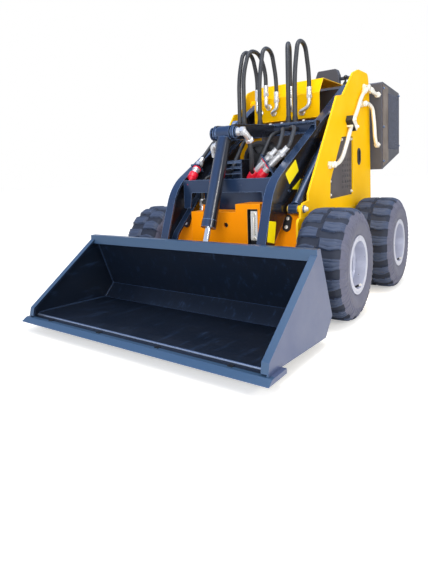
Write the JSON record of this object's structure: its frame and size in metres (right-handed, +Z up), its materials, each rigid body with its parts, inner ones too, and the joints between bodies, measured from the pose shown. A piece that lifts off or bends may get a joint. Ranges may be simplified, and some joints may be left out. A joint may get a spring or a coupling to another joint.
{
  "type": "compact skid steer loader",
  "caption": "Compact skid steer loader: low steel bucket on curved lift arms, towers, twin lift cylinders, a tilt cylinder and four lugged wheels.",
  "frame": {"origin": "on the ground under the middle of the machine's whole length and width", "axes": "+Z up, -Y forward to the bucket, +X to the machine's left"},
  "size_m": [1.124, 2.405, 1.3033],
  "materials": {
    "yellow_paint": "gloss",
    "black_paint": "semi-gloss",
    "bucket_paint": "semi-gloss",
    "engine_metal": "cast",
    "dark_metal": "matt",
    "rod_chrome": "polished",
    "pipe_steel": "zinc plated",
    "hose_rubber": "matt",
    "pad_rubber": "matt",
    "red_cap": "moulded",
    "gauge_plastic": "clear",
    "lever_plastic": "moulded",
    "tyre_rubber": "matt",
    "rim_silver": "satin"
  },
  "bodies": {
    "root": {"chassis": "yellow_paint", "tower_left": "yellow_paint", "tower_right": "yellow_paint", "tower_meshes": "black_paint", "wheel_motors": "black_paint", "arm_stops": "yellow_paint", "stop_pads": "pad_rubber", "oil_tank": "yellow_paint", "sight_gauge": "gauge_plastic", "engine": "engine_metal", "blower": "dark_metal", "engine_guard": "black_paint", "console": "yellow_paint", "rear_hood": "black_paint", "cooler_core": "engine_metal", "step": "black_paint", "dash": "black_paint", "levers": "lever_plastic", "grab_bar": "black_paint", "oil_pipes": "pipe_steel", "hose_elbows": "pipe_steel", "lift_hoses": "hose_rubber"},
    "lift_arms": {"arm_left": "black_paint", "arm_right": "black_paint", "cross_beam": "black_paint", "arm_bridge": "black_paint", "couplers": "pipe_steel", "coupler_caps": "red_cap", "coupler_hoses": "hose_rubber"},
    "lift_barrel_left": {"lift_barrel_left": "black_paint"},
    "lift_barrel_right": {"lift_barrel_right": "black_paint"},
    "lift_rod_left": {"lift_rod_left": "rod_chrome"},
    "lift_rod_right": {"lift_rod_right": "rod_chrome"},
    "tilt_barrel": {"tilt_barrel": "black_paint"},
    "tilt_rod": {"tilt_rod": "rod_chrome"},
    "bucket": {"hitch_plate": "black_paint", "bucket": "bucket_paint", "cutting_edge": "bucket_paint"},
    "wheel_front_left": {"tyre_front_left": "tyre_rubber", "rim_front_left": "rim_silver"},
    "wheel_front_right": {"tyre_front_right": "tyre_rubber", "rim_front_right": "rim_silver"},
    "wheel_rear_left": {"tyre_rear_left": "tyre_rubber", "rim_rear_left": "rim_silver"},
    "wheel_rear_right": {"tyre_rear_right": "tyre_rubber", "rim_rear_right": "rim_silver"}
  },
  "joints": [
    {"name": "lift", "type": "hinge", "parent": "root", "child": "lift_arms", "pos_m": [0, 0.5065, 1.054], "axis": [-1, 0, 0], "range_deg": [0, 70], "deforming": ["lift_hoses"]},
    {"name": "tilt", "type": "hinge", "parent": "lift_arms", "child": "bucket", "pos_m": [0, -0.6055, 0.128], "axis": [1, 0, 0], "range_deg": [-20, 90]},
    {"name": "tilt_barrel_swing", "type": "hinge", "parent": "lift_arms", "child": "tilt_barrel", "pos_m": [0, -0.4285, 0.817], "axis": [1, 0, 0], "range_deg": [-4.5, 1.5]},
    {"name": "tilt_rod_slide", "type": "slide", "parent": "tilt_barrel", "child": "tilt_rod", "axis": [0, -0.3729, -0.9279], "range_m": [-0.046, 0.194]},
    {"name": "lift_barrel_swing_left", "type": "hinge", "parent": "root", "child": "lift_barrel_left", "pos_m": [0.303, -0.3885, 0.467], "axis": [1, 0, 0], "range_deg": [-1, 17]},
    {"name": "lift_rod_slide_left", "type": "slide", "parent": "lift_barrel_left", "child": "lift_rod_left", "axis": [0, 0.802, 0.5973], "range_m": [-0.001, 0.27]},
    {"name": "lift_barrel_swing_right", "type": "hinge", "parent": "root", "child": "lift_barrel_right", "pos_m": [-0.303, -0.3885, 0.467], "axis": [1, 0, 0], "range_deg": [-1, 17]},
    {"name": "lift_rod_slide_right", "type": "slide", "parent": "lift_barrel_right", "child": "lift_rod_right", "axis": [0, 0.802, 0.5973], "range_m": [-0.001, 0.27]},
    {"name": "roll_front_left", "type": "hinge", "parent": "root", "child": "wheel_front_left", "pos_m": [0.453, -0.3295, 0.235], "axis": [1, 0, 0], "continuous": true},
    {"name": "roll_front_right", "type": "hinge", "parent": "root", "child": "wheel_front_right", "pos_m": [-0.453, -0.3295, 0.235], "axis": [1, 0, 0], "continuous": true},
    {"name": "roll_rear_left", "type": "hinge", "parent": "root", "child": "wheel_rear_left", "pos_m": [0.453, 0.3705, 0.235], "axis": [1, 0, 0], "continuous": true},
    {"name": "roll_rear_right", "type": "hinge", "parent": "root", "child": "wheel_rear_right", "pos_m": [-0.453, 0.3705, 0.235], "axis": [1, 0, 0], "continuous": true}
  ],
  "couplings": [
    {"joint": "tilt_barrel_swing", "follows": "tilt", "ratio": -0.045},
    {"joint": "tilt_rod_slide", "follows": "tilt", "m_per_rad": 0.118},
    {"joint": "lift_barrel_swing_left", "follows": "lift", "ratio": 0.225},
    {"joint": "lift_rod_slide_left", "follows": "lift", "m_per_rad": 0.21},
    {"joint": "lift_barrel_swing_right", "follows": "lift", "ratio": 0.225},
    {"joint": "lift_rod_slide_right", "follows": "lift", "m_per_rad": 0.21}
  ]
}
